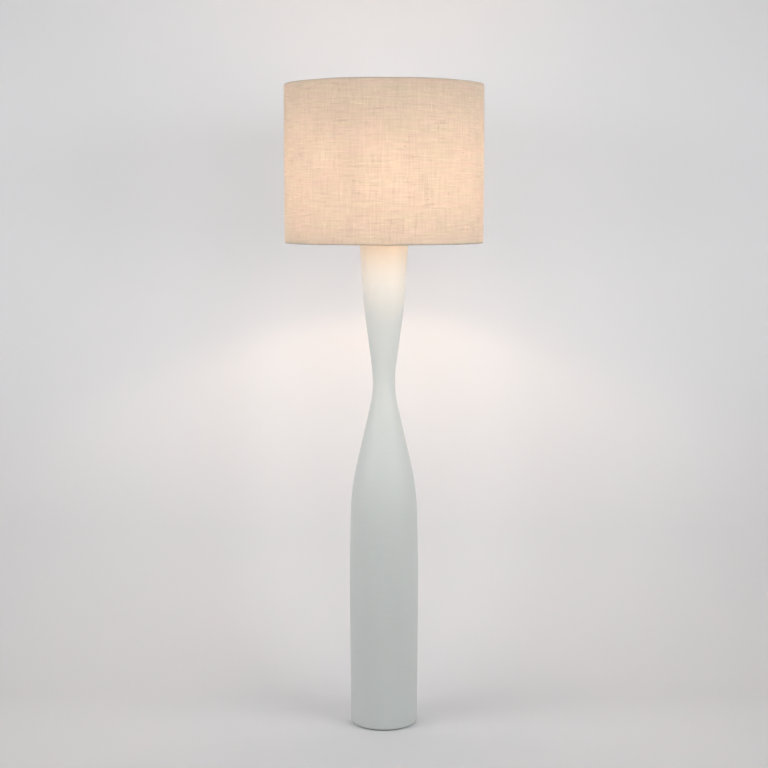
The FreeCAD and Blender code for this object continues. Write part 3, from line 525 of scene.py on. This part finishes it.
def stage_piece(name, points, faces, material):
    mesh = bpy.data.meshes.new(name)
    mesh.from_pydata(points, [], faces)
    for polygon in mesh.polygons:
        polygon.use_smooth = True
    made = bpy.data.objects.new(name, mesh)
    bpy.context.scene.collection.objects.link(made)
    made.data.materials.append(material)


def build_floor(material):
    """A round floor. The lamp hides its hole under the foot, through which light reaches the felt."""
    hole_r = felt_r * hole_share
    points = []
    faces = []
    for side in range(floor_sides):
        turn = 2 * math.pi * side / floor_sides
        points.append((hole_r * math.cos(turn), hole_r * math.sin(turn), -floor_drop))
        points.append((stage_reach * math.cos(turn), stage_reach * math.sin(turn), -floor_drop))
        after = (side + 1) % floor_sides
        faces.append((2 * side, 2 * side + 1, 2 * after + 1, 2 * after))
    stage_piece("floor", points, faces, material)


def build_backdrop(material):
    """A wall behind the lamp, which curves up out of the floor."""
    profile = []
    for step in range(cove_steps + 1):
        turn = math.pi / 2 * step / cove_steps
        back = wall_y - cove_r + cove_r * math.sin(turn)
        profile.append((back, cove_lift + cove_r * (1 - math.cos(turn))))
    profile.append((wall_y, wall_height))
    points = [(side * stage_reach, y, z) for y, z in profile for side in (-1, 1)]
    faces = [(2 * row, 2 * row + 1, 2 * row + 3, 2 * row + 2) for row in range(len(profile) - 1)]
    stage_piece("backdrop", points, faces, material)


def build_stage():
    """A pale floor and backdrop."""
    material = one_sided("stage", stage_colour)
    build_floor(material)
    build_backdrop(material)


def softbox_pair(name, side, front, height, size, spread, powers):
    """Two square softboxes, one each side of the camera, with grids that limit their spread."""
    for label, across, power in (("left", -side, powers[0]), ("right", side, powers[1])):
        light = bpy.data.lights.new(name + "_" + label, "AREA")
        light.size = size
        light.spread = math.radians(spread)
        light.energy = power
        made = bpy.data.objects.new(light.name, light)
        made.location = (across, -front, height)
        towards_lamp = Vector((0, 0, softbox_aim)) - made.location
        made.rotation_euler = towards_lamp.to_track_quat("-Z", "Y").to_euler()
        made.visible_camera = False
        bpy.context.scene.collection.objects.link(made)


def bulb_light():
    """The light that the lit dome gives, which goes where the bulb goes."""
    light = bpy.data.lights.new("bulb_light", "POINT")
    light.energy = bulb_power
    light.color = bulb_colour
    light.shadow_soft_size = globe_r * 0.9
    made = bpy.data.objects.new("bulb_light", light)
    made.location = (0, 0, globe_z)
    bpy.context.scene.collection.objects.link(made)
    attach(made, "bulb")


def let_light_through():
    """Takes the shadows off the pieces between the bulb's light and the linen."""
    for name in shadowless:
        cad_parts[name].visible_shadow = False


def build_world():
    """An even surrounding light, which looks paler to the camera and in glossy pieces."""
    world = bpy.data.worlds.new("studio")
    world.use_nodes = True
    nodes = world.node_tree.nodes
    links = world.node_tree.links
    ray = nodes.new("ShaderNodeLightPath").outputs
    seen = ray["Is Camera Ray"]
    for kind in ("Is Glossy Ray", "Is Transmission Ray"):
        either = nodes.new("ShaderNodeMath")
        either.operation = "MAXIMUM"
        links.new(seen, either.inputs[0])
        links.new(ray[kind], either.inputs[1])
        seen = either.outputs[0]
    level = nodes.new("ShaderNodeMapRange")
    links.new(seen, level.inputs["Value"])
    level.inputs["To Min"].default_value = ambient
    level.inputs["To Max"].default_value = world_seen
    background = nodes["Background"]
    background.inputs["Color"].default_value = (0.97, 0.98, 1.0, 1.0)
    links.new(level.outputs[0], background.inputs["Strength"])
    bpy.context.scene.world = world


def build_light():
    """Three pairs of softboxes, an even surrounding light, and the bulb."""
    softbox_pair("key", side=1.4, front=1.3, height=1.4, size=1.0, spread=120, powers=key_powers)
    softbox_pair("side", side=2.0, front=0.7, height=1.4, size=1.0, spread=140, powers=side_powers)
    softbox_pair("front", side=0.5, front=2.2, height=1.6, size=0.8, spread=60, powers=front_powers)
    bulb_light()
    let_light_through()
    build_world()


def build_camera():
    """The camera of the photograph, solved from the shade's two rims."""
    camera = bpy.data.cameras.new("camera")
    camera.sensor_width = sensor_width
    camera.lens = focal_px * sensor_width / photo_size
    made = bpy.data.objects.new("camera", camera)
    made.location = (0, -camera_distance, camera_height)
    made.rotation_euler = (math.pi / 2 - camera_pitch, 0, 0)
    bpy.context.scene.collection.objects.link(made)
    bpy.context.scene.camera = made


finishes = materials()
dress_nodes(finishes)
linen_drum(finishes["linen"])
build_stage()
build_light()
build_camera()
bpy.context.scene.view_settings.view_transform = "Standard"
